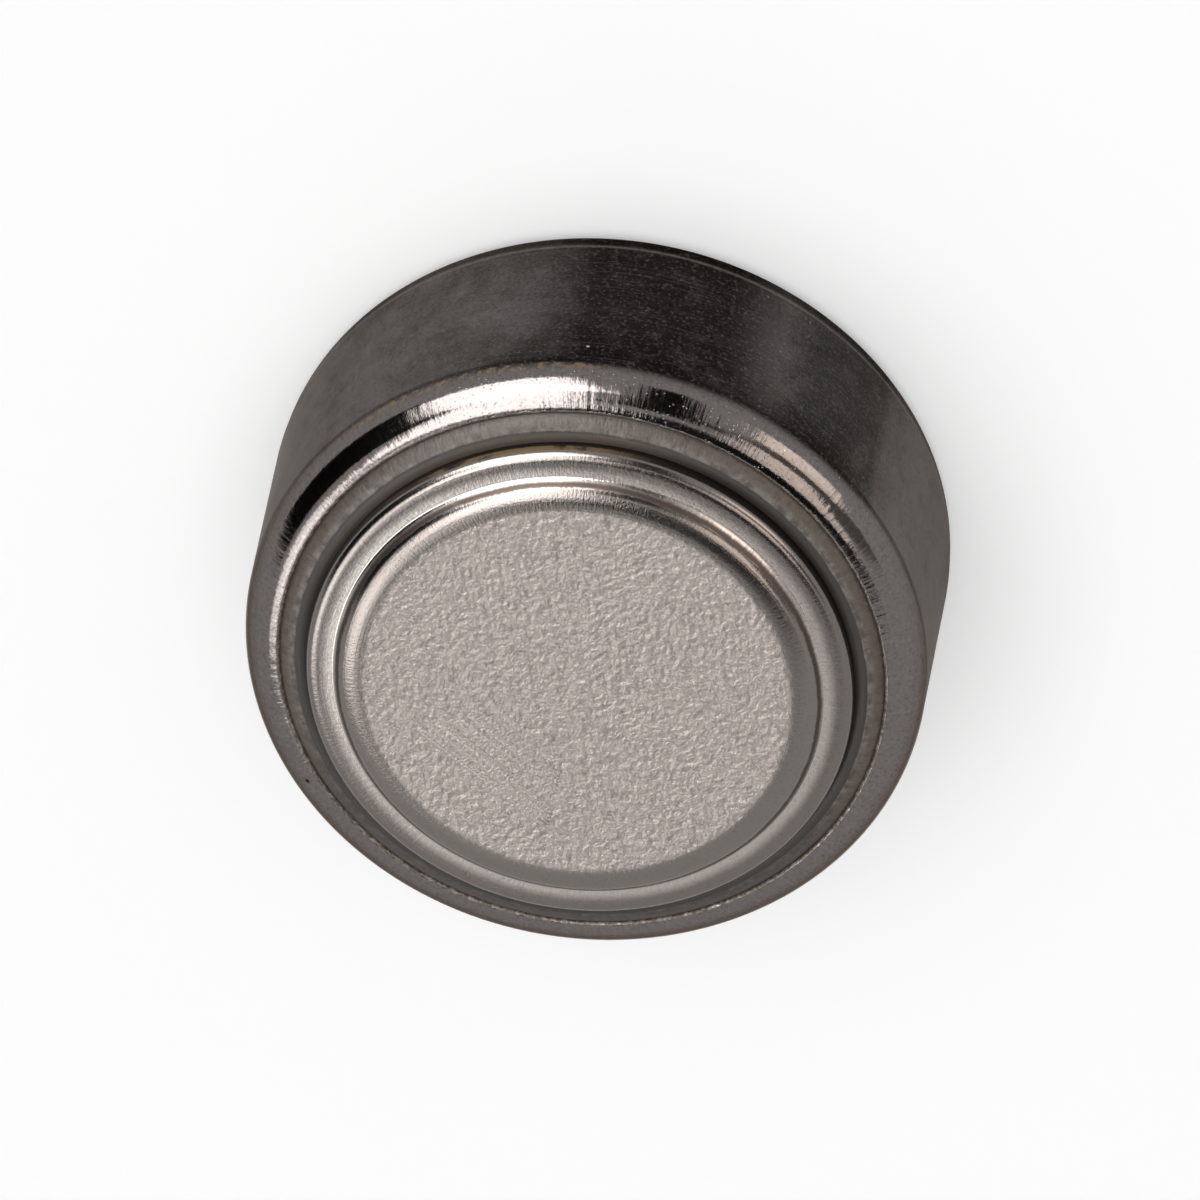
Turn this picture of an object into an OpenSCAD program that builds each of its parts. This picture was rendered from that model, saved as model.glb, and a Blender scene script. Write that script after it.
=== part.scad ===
// Alkaline button cell, 11.6 mm across and 5.4 mm high, negative cap up.
// Every piece is a body of revolution about Z; the positive face lies on Z = 0.
// Outlines are drawn as [radius, height] pairs and turned by rotate_extrude.

/* [Cell] */
// Outside diameter of the can
can_d = 11.6; // [10.6:0.1:14]
// Height of the cell from the positive face to the negative face
cell_h = 5.4; // [4.8:0.1:6.6]

/* [Can] */
// Thickness of the can's plated steel sheet
can_t = 0.25; // [0.2:0.01:0.3]
// Outside radius of the corner round the positive face
corner_r = 0.32; // [0.32:0.01:0.42]
// Height where the tapered foot of the can meets its straight wall
foot_h = 0.5; // [0.46:0.01:0.8]
// Slope of the tapered foot, away from the wall
foot_slope = 5; // [3:1:16]

/* [Crimp] */
// How far the top of the rolled lip lies below the negative face
lip_drop = 0.7; // [0.6:0.01:0.85]
// Outside radius of the rolled lip
crimp_r = 0.66; // [0.6:0.01:0.76]
// Angle through which the can's edge is rolled inwards, up to the crease
crimp_turn = 60; // [54:1:66]
// Further turn at the crease between the roll and the flat top of the lip
land_turn = 12; // [8:1:18]
// Width of the flat top of the lip
land_w = 0.18; // [0.1:0.01:0.24]
// Radius of the worn upper corner of the lip's cut edge
lip_round = 0.1; // [0.04:0.01:0.14]

/* [Cap] */
// Thickness of the cap's clad steel sheet
cap_t = 0.2; // [0.16:0.01:0.22]
// Height of the raised contact disc above the shoulder
crown_h = 0.22; // [0.19:0.01:0.32]
// Inside radius of the bend at the edge of the contact disc
crown_bend = 0.2; // [0.14:0.01:0.22]
// Slope of the drop from the contact disc to the shoulder
crown_slope = 50; // [40:1:52]
// Width of the shoulder, from the foot of the contact disc to the neck
shoulder_w = 0.46; // [0.36:0.01:0.8]
// Inside radius of the bends at the shoulder's two edges
shoulder_bend = 0.04; // [0.02:0.01:0.06]
// Inside radius of the two bends between the neck and the skirt
skirt_bend = 0.1; // [0.05:0.01:0.12]
// Slope of the flare from the neck out to the skirt
flare_slope = 60; // [50:1:64]
// How far below the lip's top the neck starts to flare out
flare_drop = 0.25; // [0.22:0.01:0.35]
// Gap between the two legs of the folded rim
fold_gap = 0.06; // [0.02:0.01:0.08]
// How far the cut edge of the folded rim stops below the flare
leg_drop = 0.25; // [0.15:0.01:0.5]

/* [Gasket] */
// Thickness of the gasket between the folded rim and the can
gasket_t = 0.35; // [0.3:0.01:0.4]
// Thickness of the gasket's foot, under the folded rim
gasket_foot_t = 0.25; // [0.15:0.01:0.4]
// How far the gasket's foot reaches inside the skirt
foot_reach = 0.2; // [0.1:0.01:0.6]
// Width of the groove between the lip's edge and the neck, filled by the gasket
groove_w = 0.49; // [0.44:0.01:0.56]
// Width of the gasket's flat collar, round the neck
collar_w = 0.28; // [0.2:0.01:0.32]
// How far the collar stands above the top of the lip
collar_rise = 0.12; // [0.04:0.01:0.16]
// How far the rounded backs of the collar and of the slope beside it stand out
bead_crown = 0.03; // [0.01:0.01:0.05]

/* [Filling] */
// Thickness of the pressed cathode pellet
pellet_h = 1.65; // [1.3:0.05:2]
// Width of the pellet's bevelled lower edge
pellet_bevel = 0.34; // [0.32:0.01:0.5]
// Thickness of the barrier film
film_t = 0.05; // [0.03:0.01:0.1]
// Thickness of the absorbent separator
paper_t = 0.2; // [0.1:0.01:0.3]
// Room left between the gel and the underside of the shoulder
head_space = 0.15; // [0.08:0.01:0.4]

/* [Hidden] */
$fn = 180;
arc_step = 10;  // degrees that one straight step of a bend turns through

// Can and rolled lip
can_r = can_d / 2;
bore_r = can_r - can_t;
crease_r = can_t + 0.05;  // outside radius of the soft creases above the foot and on the lip
crease_run = 0.02;  // straight strip between the roll and the crease
foot_run = (foot_h - corner_r * (1 - sin(foot_slope)) - crease_r * sin(foot_slope))
         / cos(foot_slope);
face_r = can_r - corner_r * cos(foot_slope) - foot_run * sin(foot_slope)
       - crease_r * (1 - cos(foot_slope));
lip_z = cell_h - lip_drop;
lip_turn = crimp_turn + land_turn;
crimp_z = lip_z - crimp_r * sin(crimp_turn) - crease_run * cos(crimp_turn)
        - crease_r * (sin(lip_turn) - sin(crimp_turn)) - land_w * cos(lip_turn)
        - lip_round * (1 - sin(lip_turn));

// Wall and rolled lip of the can, up from the foot
lip_walk = [
    [crimp_z - foot_h, crimp_turn, crimp_r - can_t / 2],
    [crease_run, land_turn, crease_r - can_t / 2],
    [land_w, 0, 0]
];
lip_from = [can_r - can_t / 2, foot_h];
lip_face = face(lip_walk, lip_from, 90, -can_t / 2);
lip_end = lip_face[len(lip_face) - 1];
lip_head = 90 + lip_turn;
lip_edge = lip_end + lip_round * (left_of(lip_head) + along(lip_head));
lip_foot = lip_end + can_t * left_of(lip_head) + lip_round * along(lip_head);
lip_tip = concat(
    rest(arc(lip_end + lip_round * left_of(lip_head), lip_round, lip_turn, lip_head)), [lip_foot]);

// Cap, along the middle of its sheet
neck_r = lip_edge[0] - groove_w;
neck_mid = neck_r - cap_t / 2;
crown_mid = crown_bend + cap_t / 2;
shoulder_mid = shoulder_bend + cap_t / 2;
skirt_mid = skirt_bend + cap_t / 2;
fold_mid = (fold_gap + cap_t) / 2;
crown_run = (crown_h - (crown_mid + shoulder_mid) * (1 - cos(crown_slope))) / sin(crown_slope);
crown_foot = neck_r - shoulder_w;
disc_r = crown_foot - (crown_mid + shoulder_mid) * sin(crown_slope) - crown_run * cos(crown_slope);
shoulder_run = neck_mid - shoulder_mid - crown_foot;
neck_z = cell_h - crown_h - cap_t / 2 - shoulder_mid;
flare_z = lip_z - flare_drop;
rim_r = bore_r - gasket_t;
skirt_line = rim_r - cap_t / 2 - 2 * fold_mid;
flare_run = (skirt_line - neck_mid - 2 * skirt_mid * (1 - cos(flare_slope))) / sin(flare_slope);
skirt_z = flare_z - 2 * skirt_mid * sin(flare_slope) - flare_run * cos(flare_slope);
leg_z = skirt_z - leg_drop;

// Filling, stacked up from the can's floor
film_z = can_t + pellet_h;
paper_z = film_z + film_t;
seat_z = paper_z + paper_t;
fold_z = seat_z + gasket_foot_t;
fold_r = skirt_line + fold_mid;
fold_at = [fold_r, fold_z + fold_mid + cap_t / 2];
skirt_in = skirt_line - cap_t / 2;
foot_in = skirt_in - foot_reach;
gel_z = cell_h - crown_h - cap_t - head_space;

// Unit vectors along a heading and to the left of it
function along(a) = [cos(a), sin(a)];
function left_of(a) = [-sin(a), cos(a)];
function reversed(list) = [for (i = [len(list) - 1:-1:0]) list[i]];
function rest(list) = [for (i = [1:len(list) - 1]) list[i]];

// Points on an arc, from angle a to angle b
function arc(at, r, a, b) =
    let (steps = ceil(abs(b - a) / arc_step))
    [for (i = [0:steps]) at + r * along(a + (b - a) * i / steps)];

// One face of a bent sheet. The walk follows the middle of the sheet as [run, turn, radius]
// rows: a straight run, then a bend (left is positive) of that middle radius. The face lies
// off to the left of the middle line.
function face(walk, at, heading, off, i = 0) =
    i == len(walk) ? [] :
    let (run = walk[i][0], turn = walk[i][1], side = sign(turn), r = side * walk[i][2],
         bend_at = at + run * along(heading),
         centre = bend_at + r * left_of(heading),
         bend = turn == 0 ? [bend_at + off * left_of(heading)]
              : arc(centre, abs(r - off), heading - side * 90, heading + turn - side * 90),
         next = centre - r * left_of(heading + turn))
    concat(bend, face(walk, next, heading + turn, off, i + 1));

// Both faces of a bent sheet of thickness t, closed across its two ends. The far end is
// closed along the points of the tip, where they are given.
function sheet(walk, at, heading, t, tip = []) = concat(
    [at - t / 2 * left_of(heading)], face(walk, at, heading, -t / 2), tip,
    reversed(face(walk, at, heading, t / 2)), [at + t / 2 * left_of(heading)]);

// Low arch from point a to point b, its back standing crown out to the right of the chord
function arch(a, b, crown) =
    let (half = norm(b - a) / 2, r = (half * half + crown * crown) / (2 * crown),
         turn = asin(half / r), out = atan2(b[1] - a[1], b[0] - a[0]) - 90)
    arc((a + b) / 2 + (crown - r) * along(out), r, out - turn, out + turn);

// Floor, tapered foot, wall and rolled lip of the can
can_walk = concat([
    [face_r, 90 - foot_slope, corner_r - can_t / 2],
    [foot_run, foot_slope, crease_r - can_t / 2]], lip_walk);
// Contact disc, drop, shoulder and neck of the cap, down to the flare
crown_walk = [
    [disc_r, -crown_slope, crown_mid],
    [crown_run, crown_slope, shoulder_mid],
    [shoulder_run, -90, shoulder_mid]
];
// Neck, flare and skirt of the cap, down to the level of the folded rim's cut edge
flare_walk = [
    [neck_z - flare_z, flare_slope, skirt_mid],
    [flare_run, -flare_slope, skirt_mid],
    [leg_drop, 0, 0]
];
// Rest of the skirt, the fold at its foot and the leg that comes back up
fold_walk = [
    [leg_z - fold_at[1], 180, fold_mid],
    [leg_z - fold_at[1], 0, 0]
];
flare_at = [neck_mid, neck_z];

// Drawn and ironed steel cup, its edge rolled over the gasket
module positive_can() {
    color("#a19c95") rotate_extrude() polygon(sheet(can_walk, [0, can_t / 2], 0, can_t, lip_tip));
}

// Pressed cup with a raised contact disc and a rim folded back on itself
module negative_cap() {
    color("#c2bdb4") rotate_extrude()
        polygon(sheet(concat(crown_walk, flare_walk, fold_walk), [0, cell_h - cap_t / 2], 0, cap_t));
}

// Moulded seal: foot under the folded rim, wall against the can, and a top squeezed up out of
// the groove as a slope beside the lip and a collar round the neck
module sealing_gasket() {
    collar_z = lip_z + collar_rise;
    collar_at = [neck_r + collar_w, collar_z];
    color("#2f2a27") rotate_extrude() polygon(concat(
        face(flare_walk, flare_at, -90, cap_t / 2),
        [[rim_r, leg_z]], arc(fold_at, rim_r - fold_r, 0, -90),
        [[foot_in, fold_z], [foot_in, seat_z], [bore_r, seat_z]],
        face(lip_walk, lip_from, 90, can_t / 2), [lip_foot],
        arch(lip_edge, collar_at, bead_crown),
        rest(arch(collar_at, [neck_r, collar_z], bead_crown))));
}

// Pressed manganese dioxide and graphite, its lower edge bevelled to enter the can
module cathode_pellet() {
    color("#262626") rotate_extrude() polygon([
        [0, can_t], [bore_r - pellet_bevel, can_t], [bore_r, foot_h],
        [bore_r, film_z], [0, film_z]]);
}

// Disc that lies across the whole bore of the can
module bore_disc(z, t) {
    translate([0, 0, z]) cylinder(h = t, r = bore_r);
}

// Cellulose film against the pellet
module barrier_film() {
    color("#d8cfae") bore_disc(film_z, film_t);
}

// Unwoven paper that holds the electrolyte
module separator_paper() {
    color("#efece4") bore_disc(paper_z, paper_t);
}

// Zinc powder in gelled electrolyte, filling the cap up to its head space
module anode_gel() {
    color("#7c8288") rotate_extrude() polygon(concat(
        [[0, seat_z], [foot_in, seat_z], [foot_in, fold_z], [skirt_in, fold_z]],
        reversed(face(flare_walk, flare_at, -90, -cap_t / 2)),
        [[neck_r - cap_t, gel_z], [0, gel_z]]));
}

positive_can();
negative_cap();
sealing_gasket();
cathode_pellet();
barrier_film();
separator_paper();
anode_gel();
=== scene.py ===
"""Alkaline button cell, 11.6 mm by 5.4 mm, cap up: its meshes, finishes, light and camera."""

import logging
import math
from dataclasses import dataclass
from enum import Enum

import bpy
import numpy as np
from mathutils import Matrix, Vector, noise


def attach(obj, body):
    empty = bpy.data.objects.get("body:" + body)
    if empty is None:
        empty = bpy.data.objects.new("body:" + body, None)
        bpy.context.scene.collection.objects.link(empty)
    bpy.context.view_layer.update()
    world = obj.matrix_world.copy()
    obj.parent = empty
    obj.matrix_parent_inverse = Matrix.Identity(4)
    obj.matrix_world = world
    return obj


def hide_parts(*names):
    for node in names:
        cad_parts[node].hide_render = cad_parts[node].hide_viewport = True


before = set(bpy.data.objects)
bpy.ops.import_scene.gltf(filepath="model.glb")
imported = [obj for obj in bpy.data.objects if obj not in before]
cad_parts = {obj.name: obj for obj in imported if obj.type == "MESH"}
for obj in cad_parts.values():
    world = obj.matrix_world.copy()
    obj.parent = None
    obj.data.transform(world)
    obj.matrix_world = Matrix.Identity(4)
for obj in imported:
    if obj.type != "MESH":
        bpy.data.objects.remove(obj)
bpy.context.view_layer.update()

MM = 0.001  # metres in a millimetre: pieces are shaped in millimetres and then scaled down
WELD = 0.0005  # millimetres within which two vertices are one
CREASE_ANGLE = 34.0  # degrees past which an edge stays sharp
ACROSS_R = 5.0  # millimetres: the radius at which lines along the section have their stated width
ROUGH_NOISE = 0.6  # how strongly a pattern's finer octaves show

log = logging.getLogger("button_cell")
Outline = list[Vector]
Socket = bpy.types.NodeSocket
Part = Socket | float | tuple[Socket, float, float]


# ---------------------------------------------------------------- outlines

@dataclass(frozen=True)
class Bend:
    """A straight run of sheet metal and the bend that follows it, along the middle of the sheet."""

    run: float
    turn: float = 0.0
    radius: float = 0.0


def along(angle: float) -> Vector:
    """Unit vector [radius, height] at an angle in degrees."""
    return Vector((math.cos(math.radians(angle)), math.sin(math.radians(angle))))


def arc(centre: Vector, radius: float, start: float, end: float, step: float) -> Outline:
    """Points on an arc.

    Args:
        centre: Its centre, as [radius, height].
        radius: Its radius in millimetres.
        start: The angle of its first point, in degrees.
        end: The angle of its last point.
        step: The most that one straight step may turn through.

    Returns:
        The points, both ends included.
    """
    steps = max(1, math.ceil(abs(end - start) / step))
    return [centre + radius * along(start + (end - start) * i / steps) for i in range(steps + 1)]


def face(walk: list[Bend], at: Vector, heading: float, offset: float, step: float) -> Outline:
    """One face of a bent sheet.

    Args:
        walk: The runs and bends of the middle of the sheet.
        at: Where the walk starts.
        heading: Its first direction, in degrees.
        offset: How far the face lies to the left of the middle line.
        step: The most that one straight step may turn through, in degrees.

    Returns:
        The points of the face, in the order of the walk.
    """
    points: Outline = []
    for bend in walk:
        at = at + bend.run * along(heading)
        if not bend.turn:
            points.append(at + offset * along(heading + 90))
            continue
        side = math.copysign(1.0, bend.turn)
        radius = side * bend.radius
        centre = at + radius * along(heading + 90)
        points += arc(centre, abs(radius - offset), heading - side * 90,
                      heading + bend.turn - side * 90, step)
        heading += bend.turn
        at = centre - radius * along(heading + 90)
    return points


def rest(points: Outline) -> Outline:
    """The points without those that repeat the one before."""
    return [here for i, here in enumerate(points) if not i or (here - points[i - 1]).length > WELD]


def arch(start: Vector, end: Vector, crown: float, step: float) -> Outline:
    """Low arch between two points, its back standing `crown` out to the right of the chord."""
    chord = end - start
    half = chord.length / 2
    radius = (half * half + crown * crown) / (2 * crown)
    turn = math.degrees(math.asin(half / radius))
    out = math.degrees(math.atan2(chord.y, chord.x)) - 90
    centre = (start + end) / 2 + (crown - radius) * along(out)
    return arc(centre, radius, out - turn, out + turn, step)


# ---------------------------------------------------------------- bench work

def clear_selection() -> None:
    """Deselects every object, since an operator acts on all that is selected."""
    bpy.ops.object.select_all(action="DESELECT")


def weld() -> None:
    """Merges doubles over the whole mesh in edit mode and turns its faces outwards."""
    bpy.ops.mesh.select_all(action="SELECT")
    bpy.ops.mesh.remove_doubles(threshold=WELD)
    bpy.ops.mesh.normals_make_consistent(inside=False)


def turn_outline(name: str, outline: Outline, steps: int) -> bpy.types.Object:
    """Draws an outline by extruding one vertex from point to point, and spins it about the axis.

    Args:
        name: The new piece's name.
        outline: Its points, as [radius, height] in millimetres.
        steps: How many steps the full turn has.

    Returns:
        The piece, still in millimetres.
    """
    start = outline[0]
    clear_selection()
    bpy.ops.mesh.primitive_plane_add(size=1.0, location=(start.x, 0.0, start.y))
    piece = bpy.context.active_object
    piece.name = piece.data.name = name
    bpy.ops.object.mode_set(mode="EDIT")
    bpy.ops.mesh.merge(type="CENTER")
    for here, there in zip(outline, outline[1:]):
        move = there - here
        bpy.ops.mesh.extrude_region_move(TRANSFORM_OT_translate={"value": (move.x, 0.0, move.y)})
    bpy.ops.mesh.select_all(action="SELECT")
    bpy.ops.mesh.spin(steps=steps, angle=math.tau, center=(0, 0, 0), axis=(0, 0, 1))
    weld()
    bpy.ops.object.mode_set(mode="OBJECT")
    return piece


def settle(piece: bpy.types.Object, body: str, node: str) -> None:
    """Scales a finished piece to metres, smooths it and sets it on the frame.

    Args:
        piece: The piece, shaped in millimetres.
        body: The body that it rides on.
        node: The CAD node that it stands for.
    """
    clear_selection()
    piece.select_set(True)
    bpy.context.view_layer.objects.active = piece
    piece.location *= MM
    piece.scale = (MM, MM, MM)
    bpy.ops.object.transform_apply(location=True, rotation=True, scale=True)
    bpy.ops.object.shade_smooth_by_angle(angle=math.radians(CREASE_ANGLE))
    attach(piece, body)
    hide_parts(node)
    log.info("%s: %d vertices, %d faces", piece.name, len(piece.data.vertices),
             len(piece.data.polygons))


# ---------------------------------------------------------------- material tools

def linear(hex_colour: str) -> tuple[float, float, float, float]:
    """Linear colour, with alpha 1, of an sRGB hex value such as "#a19c95"."""
    channels = [int(hex_colour[i:i + 2], 16) / 255 for i in (1, 3, 5)]
    return (*(c / 12.92 if c <= 0.04045 else ((c + 0.055) / 1.055) ** 2.4 for c in channels), 1.0)


def add(tree: bpy.types.NodeTree, kind: str, inputs: dict | None = None,
        **settings: object) -> bpy.types.Node:
    """Adds a shader node.

    Args:
        tree: The material's or world's node tree.
        kind: The node's type, without its ShaderNode prefix.
        inputs: By input name or number: a socket to link from, or a value to set.
        settings: Properties of the node.

    Returns:
        The node.
    """
    node = tree.nodes.new("ShaderNode" + kind)
    for name, value in settings.items():
        setattr(node, name, value)
    for key, value in (inputs or {}).items():
        if isinstance(value, Socket):
            tree.links.new(value, node.inputs[key])
        else:
            node.inputs[key].default_value = value
    return node


def new_material(name: str) -> tuple[bpy.types.Material, bpy.types.NodeTree]:
    """Empty node material of a name, and its tree."""
    material = bpy.data.materials.new(name)
    material.use_nodes = True
    material.node_tree.nodes.clear()
    return material, material.node_tree


# ---------------------------------------------------------------- finishes

# Real scratches, grit and stipple go down to a few thousandths of a millimetre. The finest are
# drawn 0.035 to 0.06 mm across, as coarse as they need to be to show.

class Grain(Enum):
    """Which way fine lines run on a turned piece."""

    AROUND = "round the axis, as a tool or a tumbling drum leaves them"
    ALONG = "up the wall and in across the lip, as drawing and crimping leave them"


@dataclass
class TurnedSurface:
    """Places on a turned piece in millimetres, as sockets that its finish reads."""

    tree: bpy.types.NodeTree

    def __post_init__(self) -> None:
        """Adds the nodes that work the places out of the object coordinates."""
        tree = self.tree
        place = add(tree, "TexCoord").outputs["Object"]
        self.place = add(tree, "VectorMath", {0: place, "Scale": 1 / MM},
                         operation="SCALE").outputs[0]
        self.flat = add(tree, "VectorMath", {0: self.place, 1: (1.0, 1.0, 0.0)},
                        operation="MULTIPLY").outputs[0]
        self.radius = add(tree, "VectorMath", {0: self.flat}, operation="LENGTH").outputs["Value"]
        self.height = add(tree, "SeparateXYZ", {0: self.place}).outputs["Z"]
        self.meridian = add(tree, "Math", {0: self.height, 1: self.radius},
                            operation="SUBTRACT").outputs[0]
        # share of a full turn: a quarter faces -Y, and a tenth is 36 degrees
        self.turn = add(tree, "TexGradient", {"Vector": self.flat},
                        gradient_type="RADIAL").outputs["Fac"]

    def streaks(self, grain: Grain, width: float, length: float, detail: float = 3.0,
                shift: float = 0.0) -> Socket:
        """Noise drawn out into lines.

        Args:
            grain: Which way the lines run.
            width: Their width in millimetres.
            length: Their length in millimetres.
            detail: How many finer octaves the noise has.
            shift: Moves the pattern, so that two don't coincide.

        Returns:
            The noise, about 0.5 in the mean.
        """
        tree = self.tree
        if grain is Grain.AROUND:
            base, across, up = self.flat, 1 / length, 1 / width
        else:
            base = add(tree, "VectorMath", {0: self.flat}, operation="NORMALIZE").outputs[0]
            across, up = ACROSS_R / width, 1 / length
        sides = add(tree, "SeparateXYZ", {0: base})
        path = add(tree, "CombineXYZ", {0: sides.outputs["X"], 1: sides.outputs["Y"],
                                        2: self.meridian})
        path = add(tree, "VectorMath", {0: path.outputs[0], 1: (across, across, up),
                                        2: (shift, shift, shift)}, operation="MULTIPLY_ADD")
        return add(tree, "TexNoise", {"Vector": path.outputs[0], "Scale": 1.0, "Detail": detail,
                                      "Roughness": ROUGH_NOISE}).outputs["Fac"]

    def clouds(self, size: float, detail: float = 3.0, shift: float = 0.0) -> Socket:
        """Noise of a size in millimetres, the same in every direction."""
        path = add(self.tree, "VectorMath", {0: self.place, 1: (shift, shift, shift)},
                   operation="ADD")
        cloud = add(self.tree, "TexNoise", {"Vector": path.outputs[0], "Scale": 1 / size,
                                            "Detail": detail, "Roughness": ROUGH_NOISE})
        return cloud.outputs["Fac"]

    def specks(self, spacing: float, size: float, share: float) -> Socket:
        """Sparse round dots.

        Args:
            spacing: The mean distance between the places where a dot may be, in millimetres.
            size: The radius of a dot in millimetres.
            share: The share of the places that have one.

        Returns:
            1 in a dot and 0 elsewhere.
        """
        tree = self.tree
        cells = add(tree, "TexVoronoi", {"Vector": self.place, "Scale": 1 / spacing})
        dot = add(tree, "MapRange", {"Value": cells.outputs["Distance"], 1: 0.6 * size / spacing,
                                     2: size / spacing, 3: 1.0, 4: 0.0})
        pick = add(tree, "SeparateXYZ", {0: cells.outputs["Color"]})
        some = add(tree, "Math", {0: pick.outputs["X"], 1: share}, operation="LESS_THAN")
        return add(tree, "Math", {0: dot.outputs[0], 1: some.outputs[0]},
                   operation="MULTIPLY").outputs[0]

    def mask(self, *parts: Part) -> Socket | float:
        """Share of a place that a layer covers, as the product of several parts.

        Args:
            parts: Each is a socket, a number, or (value, low, high): a smooth step that is 0 where
                the value is at `low` and 1 where it is at `high`.

        Returns:
            Their product.
        """
        product = None
        for part in parts:
            if isinstance(part, tuple):
                step = add(self.tree, "MapRange", {"Value": part[0], 1: part[1], 2: part[2]},
                           interpolation_type="SMOOTHSTEP")
                part = step.outputs[0]
            if product is not None:
                part = add(self.tree, "Math", {0: product, 1: part},
                           operation="MULTIPLY").outputs[0]
            product = part
        return product

    def coat(self, under: str | Socket, over: str | Socket, *parts: Part) -> Socket:
        """One colour laid over another.

        Args:
            under: The colour below, as a hex value or a socket.
            over: The colour on top.
            parts: Where the upper one covers, and how well: the parts of a mask.

        Returns:
            The mixed colour.
        """
        under, over = (linear(c) if isinstance(c, str) else c for c in (under, over))
        return add(self.tree, "Mix", {0: self.mask(*parts), 6: under, 7: over},
                   data_type="RGBA").outputs[2]

    def level(self, base: Socket | float, *changes: tuple[float | Part, ...]) -> Socket:
        """Number that patterns raise and lower.

        Args:
            base: The number where no pattern lies.
            changes: For each pattern, how much it adds, and then the parts of its mask.

        Returns:
            The number with every change added.
        """
        for amount, *parts in changes:
            base = add(self.tree, "Math", {0: self.mask(*parts), 1: amount, 2: base},
                       operation="MULTIPLY_ADD").outputs[0]
        return base

    def relief(self, *layers: tuple[float | Part, ...]) -> Socket:
        """Bumps laid over one another.

        Args:
            layers: For each, its height in millimetres, and then the parts of its mask.

        Returns:
            The bumped normal.
        """
        normal = None
        for height, *parts in layers:
            inputs = {"Height": self.mask(*parts), "Strength": 1.0, "Distance": height * MM}
            if normal is not None:
                inputs["Normal"] = normal
            normal = add(self.tree, "Bump", inputs).outputs[0]
        return normal


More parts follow.
